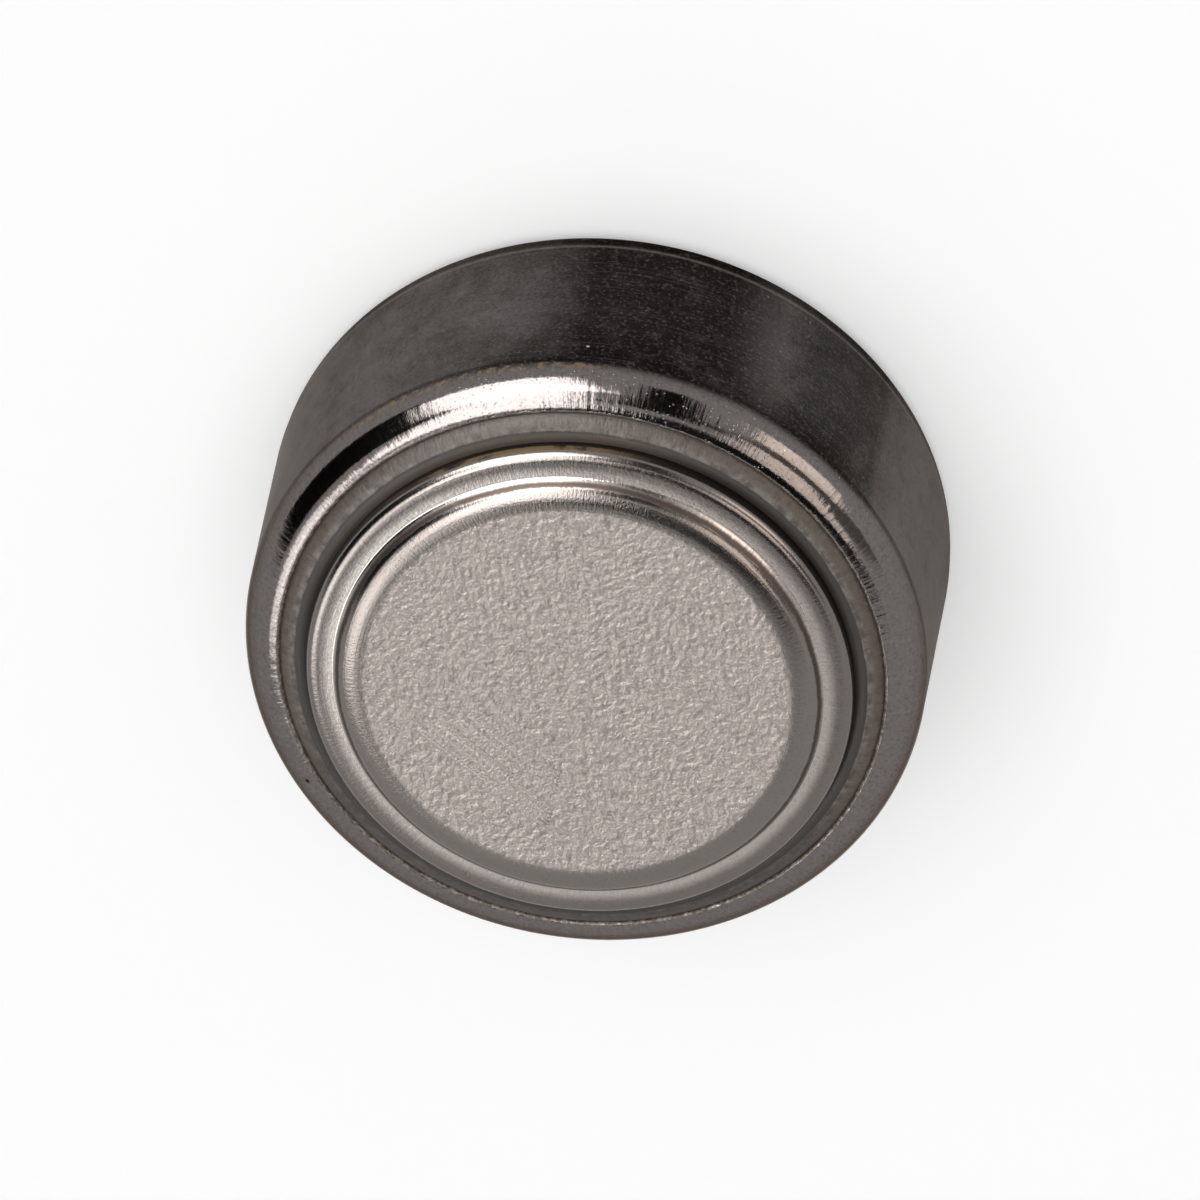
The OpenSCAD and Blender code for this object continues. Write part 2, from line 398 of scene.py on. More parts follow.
@dataclass(frozen=True)
class DrawnPlatedSteel:
    """Nickel-plated steel sheet, deep drawn into a cup, its mouth rolled over."""

    name: str = "deep_drawn_nickel_plated_steel"
    # wall: darker than the lip, as painted dark reflection
    wall: str = "#565351"
    # worn: wear and clouding, and in bands round the axis painted sheen
    worn: str = "#777373"
    # shade: painted shade and dark reflection, and also dark grit and clouds
    shade: str = "#161516"
    # painted bluish reflection on one side of the wall
    painted_blue_reflection: str = "#2b2f31"
    lip: str = "#686260"
    # bright: lighter lines and grit, and a painted highlight along the foot's crease
    bright: str = "#8a857f"
    # brown of the bare cut steel and of the fold lines
    brown_and_painted_reflection: str = "#4b3d31"
    bronze: str = "#86705a"
    glint: str = "#9a9c9a"
    fleck: str = "#c8c2b8"
    pit: str = "#171515"
    tint: str = "#b0aaa4"
    foot_z: float = 0.5  # level of the crease above the foot
    lip_z: float = 4.02  # level where the bright lip begins
    edge_r: float = 5.13  # radius of the lip's cut edge

    def wall_colour(self, at: TurnedSurface, turn: Socket, patches: Socket,
                    scuffs: Socket) -> Socket:
        """Colour of the wall and foot.

        Args:
            at: Places on the can.
            turn: The share of a full turn, made uneven.
            patches: Clouds in the plating.
            scuffs: Lines round the wall.

        Returns:
            The colour.
        """
        # Painted reflection: zones laid by the angle round the axis copy what the wall mirrors
        painted_dark_trough = at.mask((turn, 0.195, 0.228), (turn, 0.325, 0.285))
        painted_dark_side = at.mask((turn, 0.13, 0.16), (turn, 0.38, 0.31))
        wall = at.coat(self.wall, self.worn, (at.clouds(2.6, 2.0, 5.0), 0.35, 0.7), 0.5)
        wall = at.coat(wall, self.worn, (turn, 0.03, 0.06), (turn, 0.14, 0.1), 0.8)
        wall = at.coat(wall, self.worn, (turn, 0.41, 0.45), 0.6)
        wall = at.coat(wall, self.shade, painted_dark_side, 0.35)
        wall = at.coat(wall, self.painted_blue_reflection, (turn, 0.128, 0.138), (turn, 0.2, 0.18), 0.6)
        wall = at.coat(wall, self.shade, painted_dark_trough, 0.85)
        wall = at.coat(wall, self.shade, (at.height, 2.9, 4.1), painted_dark_side, 0.6)
        wall = at.coat(wall, self.shade, (patches, 0.52, 0.2), at.level(0.3, (-0.05, painted_dark_side)))
        wall = at.coat(wall, self.worn, (patches, 0.48, 0.8), at.level(0.45, (-0.3, painted_dark_side)))
        wall = at.coat(wall, self.worn, (scuffs, 0.52, 0.78), 0.2)
        # Painted highlight along the crease above the foot, and painted dark reflection on the foot
        # below it
        wall = at.coat(wall, self.bright, (at.height, self.foot_z - 0.07, self.foot_z),
                       (at.height, self.foot_z + 0.06, self.foot_z), 0.35)
        return at.coat(wall, self.shade, (at.height, self.foot_z - 0.04, self.foot_z - 0.12), 0.45)

    def make(self) -> bpy.types.Material:
        """Builds the material.

        The wall has been tumbled and handled, so it is dull there, clouded and scuffed round. Its
        base is darker than the lip's, as painted dark reflection. Its darker and lighter zones and
        a bluish band are laid by the angle round the axis, and are painted reflection too. Its
        darker zones are laid by the angle round the axis, as a stain from handling might be: that
        is a guess. Painted shade darkens the foot and the line where the roll begins, a painted
        highlight runs along the crease above the foot, and painted glints dot one side. The rolled
        lip stays bright, with short lines across it, and its cut edge shows brown steel. The flat
        positive face is clouded by rubbing every way.
        """
        material, tree = new_material(self.name)
        at = TurnedSurface(tree)
        scuffs = at.streaks(Grain.AROUND, 0.035, 2.2, 4.0)
        lines = at.streaks(Grain.ALONG, 0.05, 0.9)
        folds = at.streaks(Grain.ALONG, 0.22, 1.6, 2.0, 3.0)
        patches = at.clouds(0.45, 4.0, 9.0)
        grit = at.clouds(0.06)
        turn = at.level(at.turn, (0.02, patches))
        on_lip = at.mask((at.height, self.lip_z, self.lip_z + 0.3))
        on_wall = at.mask((on_lip, 1.0, 0.0))
        ragged = at.level(at.radius, (0.08, lines), (0.12, at.clouds(0.25, 3.0, 6.0)))
        edge = at.mask(on_lip, (ragged, self.edge_r + 0.19, self.edge_r + 0.13))

        lip = at.coat(self.lip, self.bright, (lines, 0.5, 0.8), 0.25)
        lip = at.coat(lip, self.brown_and_painted_reflection, (folds, 0.6, 0.85), 0.2)
        mottle = at.coat(self.brown_and_painted_reflection, self.bright, (at.clouds(0.08, 3.0, 2.0), 0.42, 0.7))
        lip = at.coat(lip, mottle, edge, 0.9)
        wall = self.wall_colour(at, turn, patches, scuffs)
        colour = at.coat(wall, lip, on_lip)
        # Painted shade: a dark line where the wall starts to roll in
        colour = at.coat(colour, self.shade, (at.height, 3.95, 4.03), (at.height, 4.2, 4.08), 0.45)
        colour = at.coat(colour, self.bronze, (at.height, 4.08, 4.13), (at.height, 4.3, 4.2),
                         (at.clouds(0.12, 3.0, 3.0), 0.45, 0.62), (turn, 0.26, 0.3),
                         (turn, 0.43, 0.39), 0.8)
        colour = at.coat(colour, self.bright, (grit, 0.5, 0.8), 0.3)
        colour = at.coat(colour, self.shade, (grit, 0.5, 0.2), 0.4)

        face = at.coat(self.worn, self.wall, (patches, 0.4, 0.65), 0.6)
        face = at.coat(face, self.bright, (at.clouds(0.15, 4.0, 12.0), 0.52, 0.7), 0.4)
        colour = at.coat(colour, face, (at.height, 0.012, 0.004))
        # Painted glints: bright specks on one side of the wall
        colour = at.coat(colour, self.glint, at.specks(0.2, 0.02, 0.2), (turn, 0.12, 0.14),
                         (turn, 0.24, 0.2), 0.7)
        colour = at.coat(colour, self.fleck, at.specks(0.5, 0.035, 0.07), 0.8)
        colour = at.coat(colour, self.pit, at.specks(0.83, 0.05, 0.06), 0.9)

        rough = at.level(0.08, (0.2, on_wall), (0.1, scuffs, on_wall), (0.1, patches, on_wall),
                         (0.5, edge), (0.05, grit))
        normal = at.relief((0.003, scuffs, on_wall, (at.height, 0.02, 0.06)),
                           (0.0022, lines, on_lip), (0.006, folds, on_lip), (0.0016, grit),
                           (0.008, grit, edge), (0.005, at.specks(0.06, 0.017, 0.25), on_lip,
                                                 (turn, 0.16, 0.22), (turn, 0.38, 0.3)))
        shader = add(tree, "BsdfPrincipled", {
            "Base Color": colour, "Metallic": at.level(1.0, (-0.8, edge)), "Roughness": rough,
            "Normal": normal, "Specular Tint": linear(self.tint)})
        add(tree, "OutputMaterial", {"Surface": shader.outputs[0]})
        return material


@dataclass(frozen=True)
class PressedPlatedSteel:
    """Nickel-plated clad steel sheet, pressed into a cap, its disc stippled by the punch."""

    name: str = "pressed_nickel_plated_steel"
    disc: str = "#8f8782"
    # crease: painted shade in the creases of the stipple
    crease: str = "#6f6965"
    smooth: str = "#a29a95"
    # drawn: darker slope, as painted dark reflection
    drawn: str = "#716b67"
    # bend: darker outer bend, as painted dark reflection
    bend: str = "#635d5a"
    # bronze: the colour of a painted reflection at the neck's top
    bronze: str = "#a58b69"
    # worn: wear on lines and on the disc, and painted sheen on one side
    worn: str = "#bab4ad"
    # Painted shade down the neck and in the shoulder's foot, and real grime clouded over all
    grime_and_painted_shade: str = "#3a302b"
    foot_r: float = 4.11  # radius of the shoulder's foot

    def make(self) -> bpy.types.Material:
        """Builds the material.

        The stippled disc scatters light and looks matte and pale, paler than it is written, because
        it mirrors the lamps of this studio. The bends round it were stretched smooth and mirror the
        room, with fine lines and grit that break up the bright streaks. The slope and the outer
        bend are painted darker, as painted dark reflection, and one side of the smooth parts is
        painted lighter, as painted sheen. Painted shade lies in the shoulder's foot, down the neck
        and in the stipple's creases, real grime is clouded over all, and the neck's top carries a
        painted bronze reflection on one side.
        """
        material, tree = new_material(self.name)
        at = TurnedSurface(tree)
        lines = at.streaks(Grain.ALONG, 0.045, 0.5)
        rings = at.streaks(Grain.AROUND, 0.04, 3.0, 3.0, 4.0)
        blotch = at.clouds(0.6, 3.0, 8.0)
        fine = at.clouds(0.05, 2.0, 1.0)
        crease = add(tree, "Attribute", attribute_name="crease").outputs["Fac"]
        stipple = add(tree, "Attribute", attribute_name="stipple").outputs["Fac"]

        smooth = at.coat(self.smooth, self.worn, (lines, 0.5, 0.8), 0.35)
        # Painted sheen: one side of the smooth parts is lighter
        smooth = at.coat(smooth, self.worn, (at.turn, 0.25, 0.32), (at.turn, 0.62, 0.5), 0.9)
        # Painted dark reflection: the slope inside the shoulder's foot is darker
        smooth = at.coat(smooth, self.drawn, (at.radius, self.foot_r + 0.04, self.foot_r))
        ragged = at.level(at.radius, (0.05, lines), (0.06, blotch))
        # Painted dark reflection: the outer bend is darker
        smooth = at.coat(smooth, self.bend, (ragged, self.foot_r + 0.17, self.foot_r + 0.38), 0.9)
        # Painted shade: darker down the neck, into the groove
        smooth = at.coat(smooth, self.grime_and_painted_shade, (at.height, 5.0, 4.93), 0.5)
        # Painted reflection: a bronze band at the neck's top on one side, less metallic
        brown_and_painted_reflection = at.mask((at.height, 5.1, 5.03), (at.height, 4.9, 4.97), (at.turn, 0.22, 0.28),
                        (at.turn, 0.42, 0.34), (blotch, 0.3, 0.5))
        smooth = at.coat(smooth, self.bronze, brown_and_painted_reflection, 0.9)
        # Painted shade in the crease at the shoulder's foot
        painted_crease_shade = at.mask((ragged, self.foot_r, self.foot_r + 0.03),
                       (ragged, self.foot_r + 0.12, self.foot_r + 0.06), (blotch, 0.1, 0.45))
        smooth = at.coat(smooth, self.grime_and_painted_shade, painted_crease_shade, 0.85)
        # Painted shade in the creases of the stipple
        disc = at.coat(self.disc, self.crease, crease, 0.9)
        disc = at.coat(disc, self.worn, (fine, 0.5, 0.75), 0.25)
        colour = at.coat(smooth, disc, stipple)
        colour = at.coat(colour, self.grime_and_painted_shade, (fine, 0.5, 0.2), 0.25)

        rough = at.level(0.13, (0.24, stipple), (0.08, fine), (0.25, painted_crease_shade), (0.2, brown_and_painted_reflection))
        normal = at.relief((0.0018, lines, (stipple, 1.0, 0.0)), (0.0015, rings),
                           (0.0022, fine), (0.008, fine, stipple))
        shader = add(tree, "BsdfPrincipled", {
            "Base Color": colour, "Metallic": at.level(1.0, (-0.6, brown_and_painted_reflection)), "Roughness": rough,
            "Normal": normal})
        add(tree, "OutputMaterial", {"Surface": shader.outputs[0]})
        return material


@dataclass(frozen=True)
class SealedNylon:
    """Injection-moulded nylon, brushed with bitumen sealant before assembly."""

    name: str = "moulded_nylon_with_sealant"
    # nylon: grey nylon, and near the neck on one side painted light
    nylon: str = "#5a5048"
    # sealant: the film's own dark, and on one side painted shade
    sealant: str = "#29231f"
    stain: str = "#4c3c2d"
    crumbs: str = "#948d85"

    def make(self) -> bpy.types.Material:
        """Builds the material.

        The thin film of sealant makes it dark and half glossy. One side is painted darker, as
        painted shade, and near the neck the other side is painted lighter, as painted light. It is
        rubbed through to the grey nylon along its ridge, where crumbs cling to it.
        """
        material, tree = new_material(self.name)
        at = TurnedSurface(tree)
        lines = at.streaks(Grain.ALONG, 0.09, 0.4)
        rings = at.streaks(Grain.AROUND, 0.05, 2.5, 2.0, 2.0)
        grit = at.clouds(0.06)
        slope = at.mask((at.radius, 4.865, 4.895), (lines, 0.1, 0.5))
        ragged = at.level(at.radius, (0.08, at.clouds(0.3, 3.0, 6.0)))
        colour = at.coat(self.sealant, self.nylon, slope)
        colour = at.coat(colour, self.stain, slope, (at.clouds(0.16), 0.45, 0.7), 0.8)
        colour = at.coat(colour, self.sealant, (ragged, 5.03, 4.95), slope, 0.45)
        colour = at.coat(colour, self.crumbs, (ragged, 4.9, 4.94), (ragged, 5.06, 4.96),
                         (at.clouds(0.2, 5.0, 4.0), 0.38, 0.7), 0.5)
        colour = at.coat(colour, self.nylon, (rings, 0.55, 0.8), 0.4)
        # Painted shade on one side, and painted light near the neck on another
        colour = at.coat(colour, self.sealant, (at.turn, 0.54, 0.64), (at.turn, 1.0, 0.9), 0.65)
        colour = at.coat(colour, self.nylon, (at.radius, 4.87, 4.8), (at.turn, 0.18, 0.26),
                         (at.turn, 0.5, 0.4), 0.5)
        rough = at.level(0.36, (0.25, grit))
        normal = at.relief((0.004, rings), (0.012, lines, slope), (0.004, grit))
        shader = add(tree, "BsdfPrincipled", {
            "Base Color": colour, "Roughness": rough, "IOR": 1.53, "Normal": normal,
            "Specular IOR Level": 0.3})
        add(tree, "OutputMaterial", {"Surface": shader.outputs[0]})
        return material


@dataclass(frozen=True)
class Filling:
    """One of the materials sealed inside: a pressed, felted or gelled mass with a grain."""

    name: str
    colour: str
    grain: str
    size: float
    roughness: float
    height: float
    ior: float = 1.5

    def make(self) -> bpy.types.Material:
        """Builds the material: two tones in grains of one size, and their relief."""
        material, tree = new_material(self.name)
        at = TurnedSurface(tree)
        grains = at.clouds(self.size)
        colour = at.coat(self.colour, self.grain, (grains, 0.4, 0.65))
        shader = add(tree, "BsdfPrincipled", {
            "Base Color": colour, "Roughness": self.roughness, "IOR": self.ior,
            "Normal": at.relief((self.height, grains))})
        add(tree, "OutputMaterial", {"Surface": shader.outputs[0]})
        return material


# Pressed powder is dull and near black; wet regenerated cellulose is smooth and straw coloured;
# felted fibre paper is white and soft; zinc powder in gel glistens grey.
FILLINGS = {
    "cathode_pellet": Filling("pressed_manganese_dioxide", "#262626", "#3a3836", 0.08, 0.75, 0.01),
    "barrier_film": Filling("regenerated_cellulose_film", "#d8cfae", "#cdc39c", 0.6, 0.3, 0.002,
                            1.47),
    "separator_paper": Filling("felted_fibre_paper", "#efece4", "#e0dbce", 0.15, 0.85, 0.015),
    "anode_gel": Filling("gelled_zinc_powder", "#6f757b", "#9aa0a6", 0.12, 0.35, 0.02, 1.38),
}


# ---------------------------------------------------------------- the cell

@dataclass
class PositiveCan:
    """Drawn steel cup with a tapered foot and a lip rolled in over the seal. Sizes in mm."""

    outside_d: float = 11.6
    sheet_t: float = 0.25
    corner_r: float = 0.32
    foot_h: float = 0.5
    foot_slope: float = 5.0
    crease_r: float = 0.3
    crease_run: float = 0.02
    lip_z: float = 4.7
    crimp_r: float = 0.66
    crimp_turn: float = 60.0
    crease_turn: float = 6.0
    land_turn: float = 18.0  # the worn land is slightly crowned, so the turn is spread over it
    land_w: float = 0.22
    lip_round: float = 0.06
    turn_steps: int = 512

    @property
    def radius(self) -> float:
        """Outside radius of the wall."""
        return self.outside_d / 2

    @property
    def bore_r(self) -> float:
        """Inside radius of the wall."""
        return self.radius - self.sheet_t

    @property
    def lip_turn(self) -> float:
        """Angle through which the lip is turned in all, in degrees."""
        return self.crimp_turn + self.crease_turn + self.land_turn

    @property
    def crimp_z(self) -> float:
        """Level where the wall starts to roll inwards."""
        roll, lip = math.radians(self.crimp_turn), math.radians(self.lip_turn)
        land = math.radians(self.crimp_turn + self.crease_turn)
        return (self.lip_z - self.crimp_r * math.sin(roll) - self.crease_run * math.cos(roll)
                - self.crease_r * (math.sin(land) - math.sin(roll))
                - self.land_r * (math.sin(lip) - math.sin(land))
                - self.lip_round * (1 - math.sin(lip)))

    @property
    def land_r(self) -> float:
        """Radius of the land's crown."""
        return self.land_w / math.radians(self.land_turn)

    def lip_face(self, offset: float, step: float) -> Outline:
        """Face of the rolled lip from the wall up to the end of its flat top."""
        half = self.sheet_t / 2
        walk = [Bend(self.crimp_z - self.foot_h, self.crimp_turn, self.crimp_r - half),
                Bend(self.crease_run, self.crease_turn, self.crease_r - half),
                Bend(0.0, self.land_turn, self.land_r - half)]
        return face(walk, Vector((self.radius - half, self.foot_h)), 90, offset, step)

    def lip_tip(self, step: float) -> Outline:
        """Worn upper corner of the lip's cut edge, and then its lower corner."""
        end = self.lip_face(-self.sheet_t / 2, step)[-1]
        inwards = along(180 + self.lip_turn)
        lower = end + self.sheet_t * inwards + self.lip_round * along(90 + self.lip_turn)
        return [*arc(end + self.lip_round * inwards, self.lip_round, self.lip_turn,
                     90 + self.lip_turn, step), lower]

    @property
    def lip_edge(self) -> Vector:
        """Where the worn corner meets the flat of the cut edge."""
        return self.lip_tip(10)[-2]

    def foot_walk(self) -> list[Bend]:
        """Middle line of the sheet: floor, corner and foot."""
        slope = math.radians(self.foot_slope)
        half = self.sheet_t / 2
        foot_run = (self.foot_h - self.corner_r * (1 - math.sin(slope))
                    - self.crease_r * math.sin(slope)) / math.cos(slope)
        face_r = (self.radius - self.corner_r * math.cos(slope) - foot_run * math.sin(slope)
                  - self.crease_r * (1 - math.cos(slope)))
        return [Bend(face_r, 90 - self.foot_slope, self.corner_r - half),
                Bend(foot_run, self.foot_slope, self.crease_r - half)]

    def outline(self) -> Outline:
        """Whole section of the cup, from the axis out and back to the axis."""
        half = self.sheet_t / 2
        start = Vector((0.0, half))
        outer = face(self.foot_walk(), start, 0, -half, 4) + self.lip_face(-half, 3)
        inner = face(self.foot_walk(), start, 0, half, 12) + self.lip_face(half, 12)
        return [Vector((0.0, 0.0)), *outer, *self.lip_tip(9)[1:], *reversed(inner),
                Vector((0.0, self.sheet_t))]

    def build(self) -> None:
        """Models and dresses the can."""
        piece = turn_outline("can_shell", self.outline(), self.turn_steps)
        piece.data.materials.append(DrawnPlatedSteel().make())
        settle(piece, "root", "positive_can")


@dataclass
class NegativeCap:
    """Pressed cap: stippled disc, drop, shoulder, neck, flare and folded rim. Sizes in mm."""

    can: PositiveCan
    cell_h: float = 5.4
    sheet_t: float = 0.2
    crown_h: float = 0.22
    rim_bend: float = 0.95  # outer face: the disc's soft rim, the bend after it and the drop
    rim_turn: float = 17.0
    drop_bend: float = 0.22
    drop_slope: float = 52.0
    edge_bend: float = 0.41  # outer face: the shoulder's soft edge, and the bend after it
    edge_turn: float = 14.0
    neck_bend: float = 0.144
    crown_bend: float = 0.2
    crown_slope: float = 50.0
    shoulder_w: float = 0.46
    shoulder_bend: float = 0.04
    skirt_bend: float = 0.1
    flare_slope: float = 60.0
    flare_drop: float = 0.25
    fold_gap: float = 0.06
    leg_drop: float = 0.25
    groove_w: float = 0.49
    seal_t: float = 0.35
    fold_z: float = 2.4
    lattice: int = 100  # rings of triangles in the stippled disc, and a sixth of the turn's steps
    grain_w: float = 0.1  # width and length of a grain of the stipple, and depth of its creases
    grain_l: float = 0.15
    grain_depth: float = 0.007
    grain_sway: float = 0.12  # how far the rows of grains wander
    grain_edge: float = 0.3  # half width of a crease, as a share of a grain
    grain_swell: float = 1.5  # depth of the fine swell and of the creases, as shares of the whole
    grain_crease: float = 0.4
    rim_w: float = 0.14  # smooth rim of the disc, over which the stipple fades out

    @property
    def neck_r(self) -> float:
        """Outside radius of the neck."""
        return self.can.lip_edge.x - self.groove_w

    @property
    def half(self) -> float:
        """Half the thickness of the sheet."""
        return self.sheet_t / 2

    @property
    def flare_at(self) -> Vector:
        """Where the neck's straight wall begins, on the middle line."""
        return Vector((self.neck_r - self.half,
                       self.cell_h - self.crown_h - self.half - self.shoulder_bend - self.half))

    @property
    def disc_r(self) -> float:
        """Radius of the flat contact disc."""
        return self.neck_r - face(self.crown_face(), Vector((0.0, 0.0)), 0, 0, 30)[-1].x

    @property
    def skirt_line(self) -> float:
        """Radius of the middle of the skirt's inner leg."""
        return self.can.bore_r - self.seal_t - self.half - (self.fold_gap + self.sheet_t)

    def crown_face(self) -> list[Bend]:
        """Outer face from the rim of the flat disc to the top of the neck's wall."""
        rim, slope, edge = (math.radians(angle)
                            for angle in (self.rim_turn, self.drop_slope, self.edge_turn))
        fall = (self.rim_bend * (1 - math.cos(rim))
                + self.drop_bend * (math.cos(rim) - math.cos(slope))
                + self.shoulder_bend * (1 - math.cos(slope)))
        flat = (self.shoulder_w - self.edge_bend * math.sin(edge)
                - self.neck_bend * (1 - math.sin(edge)))
        return [Bend(0.0, -self.rim_turn, self.rim_bend),
                Bend(0.0, self.rim_turn - self.drop_slope, self.drop_bend),
                Bend((self.crown_h - fall) / math.sin(slope), self.drop_slope, self.shoulder_bend),
                Bend(flat, -self.edge_turn, self.edge_bend),
                Bend(0.0, self.edge_turn - 90, self.neck_bend)]

    def crown_walk(self) -> list[Bend]:
        """Middle of the sheet from the axis to the neck, which the inner face follows."""
        slope = math.radians(self.crown_slope)
        crown = self.crown_bend + self.half
        shoulder = self.shoulder_bend + self.half
        run = (self.crown_h - (crown + shoulder) * (1 - math.cos(slope))) / math.sin(slope)
        flat = self.shoulder_w - self.half - shoulder
        disc = (self.neck_r - self.shoulder_w - (crown + shoulder) * math.sin(slope)
                - run * math.cos(slope))
        return [Bend(disc, -self.crown_slope, crown),
                Bend(run, self.crown_slope, shoulder), Bend(flat, -90, shoulder)]

    def flare_walk(self) -> list[Bend]:
        """Neck, flare and skirt, down to the level of the folded rim's cut edge."""
        slope = math.radians(self.flare_slope)
        bend = self.skirt_bend + self.half
        flare_z = self.can.lip_z - self.flare_drop
        across = self.skirt_line - self.flare_at.x - 2 * bend * (1 - math.cos(slope))
        run = across / math.sin(slope)
        return [Bend(self.flare_at.y - flare_z, self.flare_slope, bend),
                Bend(run, -self.flare_slope, bend), Bend(self.leg_drop)]

    @property
    def leg_z(self) -> float:
        """Level of the folded rim's cut edge."""
        return face(self.flare_walk(), self.flare_at, -90, 0, 10)[-1].y

    def fold_walk(self) -> list[Bend]:
        """Rest of the skirt, the fold at its foot and the leg that comes back up."""
        fold_mid = (self.fold_gap + self.sheet_t) / 2
        leg = self.leg_z - self.fold_z - fold_mid - self.half
        return [Bend(leg, 180, fold_mid), Bend(leg)]

    def outline(self) -> Outline:
        """Section of the cap from the rim of the stippled disc round to the axis underneath."""
        hidden = self.flare_walk() + self.fold_walk()
        top = face(self.crown_face(), Vector((self.disc_r, self.cell_h)), 0, 0, 4)
        outer = face(hidden, self.flare_at, -90, self.half, 15)
        inner = face(self.crown_walk() + hidden, Vector((0.0, self.cell_h - self.half)), 0,
                     -self.half, 20)
        return [*rest(top), *outer, *reversed(inner), Vector((0.0, self.cell_h - self.sheet_t))]

    def stippled_disc(self) -> bpy.types.Object:
        """Lattice of small triangles for the contact disc, its rings made round."""
        sides = 6
        side = 360 / sides
        clear_selection()
        bpy.ops.mesh.primitive_circle_add(vertices=sides, radius=self.disc_r, fill_type="TRIFAN",
                                          location=(0.0, 0.0, self.cell_h))
        disc = bpy.context.active_object
        bpy.ops.object.mode_set(mode="EDIT")
        bpy.ops.mesh.select_all(action="SELECT")
        bpy.ops.mesh.subdivide(number_cuts=self.lattice - 1)
        bpy.ops.object.mode_set(mode="OBJECT")
        places = np.empty(len(disc.data.vertices) * 3, np.float32)
        disc.data.vertices.foreach_get("co", places)
        places = places.reshape(-1, 3)
        angles = np.degrees(np.arctan2(places[:, 1], places[:, 0])) % 360
        radii = np.hypot(places[:, 0], places[:, 1])
        corner = places[radii.argmax()]
        first = np.degrees(math.atan2(corner[1], corner[0])) % side
        within = np.radians((angles - first) % side)
        apothem = math.cos(math.radians(side / 2))
        rings = radii * np.cos(within - math.radians(side / 2)) / apothem
        share = np.sin(within) / (np.sin(within) + np.sin(math.radians(side) - within))
        turned = np.radians(np.floor(((angles - first) % 360) / side) * side + first + share * side)
        places[:, 0] = rings * np.cos(turned)
        places[:, 1] = rings * np.sin(turned)
        height, crease = np.array([self.grain(x, y) for x, y in places[:, :2]]).T
        fade = np.clip((self.disc_r - rings) / self.rim_w, 0, 1)
        fade = fade * fade * (3 - 2 * fade)
        places[:, 2] += self.grain_depth * height * fade
        disc.data.vertices.foreach_set("co", places.ravel())
        for name, values in (("crease", crease * fade), ("stipple", fade)):
            layer = disc.data.attributes.new(name, "FLOAT", "POINT")
            layer.data.foreach_set("value", values.astype(np.float32))
        disc.data.update()
        return disc

    def grain(self, x: float, y: float) -> tuple[float, float]:
        """Relief that the textured punch leaves.

        Args:
            x: Place on the disc in millimetres.
            y: The same, across.

        Returns:
            The height there as a share of the grain's depth, and 1 in a crease to 0 off it.
        """
        sway = noise.noise(Vector((x * 1.7, y * 1.7, 3.0))) * self.grain_sway
        cell = Vector(((x + sway) / self.grain_w, (y + sway) / self.grain_l, 0.0))
        near = noise.voronoi(cell, distance_metric="DISTANCE", exponent=2.5)[0]
        border = max(0.0, 1 - (near[1] - near[0]) / self.grain_edge)
        depth = 0.45 + 1.1 * noise.noise(Vector((x * 5.5, y * 4.5, 9.0)))
        crease = border * min(1.0, max(0.0, depth))
        # about 12 swells to a millimetre, turned 20 degrees off the axes
        swell = noise.fractal(Vector((x * 11.75 + y * 4.28, y * 10.34 - x * 3.76, 5.0)),
                              0.7, 2.0, 3)
        return self.grain_swell * swell - self.grain_crease * crease, crease

    def build(self) -> None:
        """Models and dresses the cap."""
        disc = self.stippled_disc()
        piece = turn_outline("cap_shell", self.outline(), 6 * self.lattice)
        clear_selection()
        disc.select_set(True)
        piece.select_set(True)
        bpy.context.view_layer.objects.active = piece
        bpy.ops.object.join()
        bpy.ops.object.mode_set(mode="EDIT")
        weld()
        bpy.ops.object.mode_set(mode="OBJECT")
        piece.data.materials.append(PressedPlatedSteel().make())
        settle(piece, "root", "negative_cap")


@dataclass
class SealingGasket:
    """Moulded nylon seal between can and cap. Sizes in mm."""

    can: PositiveCan
    cap: NegativeCap
    seat_z: float = 2.15
    foot_reach: float = 0.2
    collar_w: float = 0.28
    collar_rise: float = 0.12
    bead_crown: float = 0.03
    turn_steps: int = 384

    def outline(self) -> Outline:
        """Closed section, from the neck down round the foot and back up to the groove."""
        can, cap = self.can, self.cap
        rim_r = can.bore_r - cap.seal_t
        fold_r = rim_r - cap.half - (cap.fold_gap + cap.sheet_t) / 2
        fold_at = Vector((fold_r, cap.fold_z + rim_r - fold_r))
        foot_in = cap.skirt_line - cap.half - self.foot_reach
        collar_z = can.lip_z + self.collar_rise
        collar_at = Vector((cap.neck_r + self.collar_w, collar_z))
        return [*face(cap.flare_walk(), cap.flare_at, -90, cap.half, 12),
                Vector((rim_r, cap.leg_z)), *arc(fold_at, rim_r - fold_r, 0, -90, 12),
                Vector((foot_in, cap.fold_z)), Vector((foot_in, self.seat_z)),
                Vector((can.bore_r, self.seat_z)), *can.lip_face(can.sheet_t / 2, 12),
                can.lip_tip(10)[-1], *arch(can.lip_edge, collar_at, self.bead_crown, 4),
                *arch(collar_at, Vector((cap.neck_r, collar_z)), self.bead_crown, 4)[1:]]

    def build(self) -> None:
        """Models and dresses the gasket."""
        outline = self.outline()
        piece = turn_outline("seal_ring", [*outline, outline[0]], self.turn_steps)
        piece.data.materials.append(SealedNylon().make())
        settle(piece, "root", "sealing_gasket")


# ---------------------------------------------------------------- studio

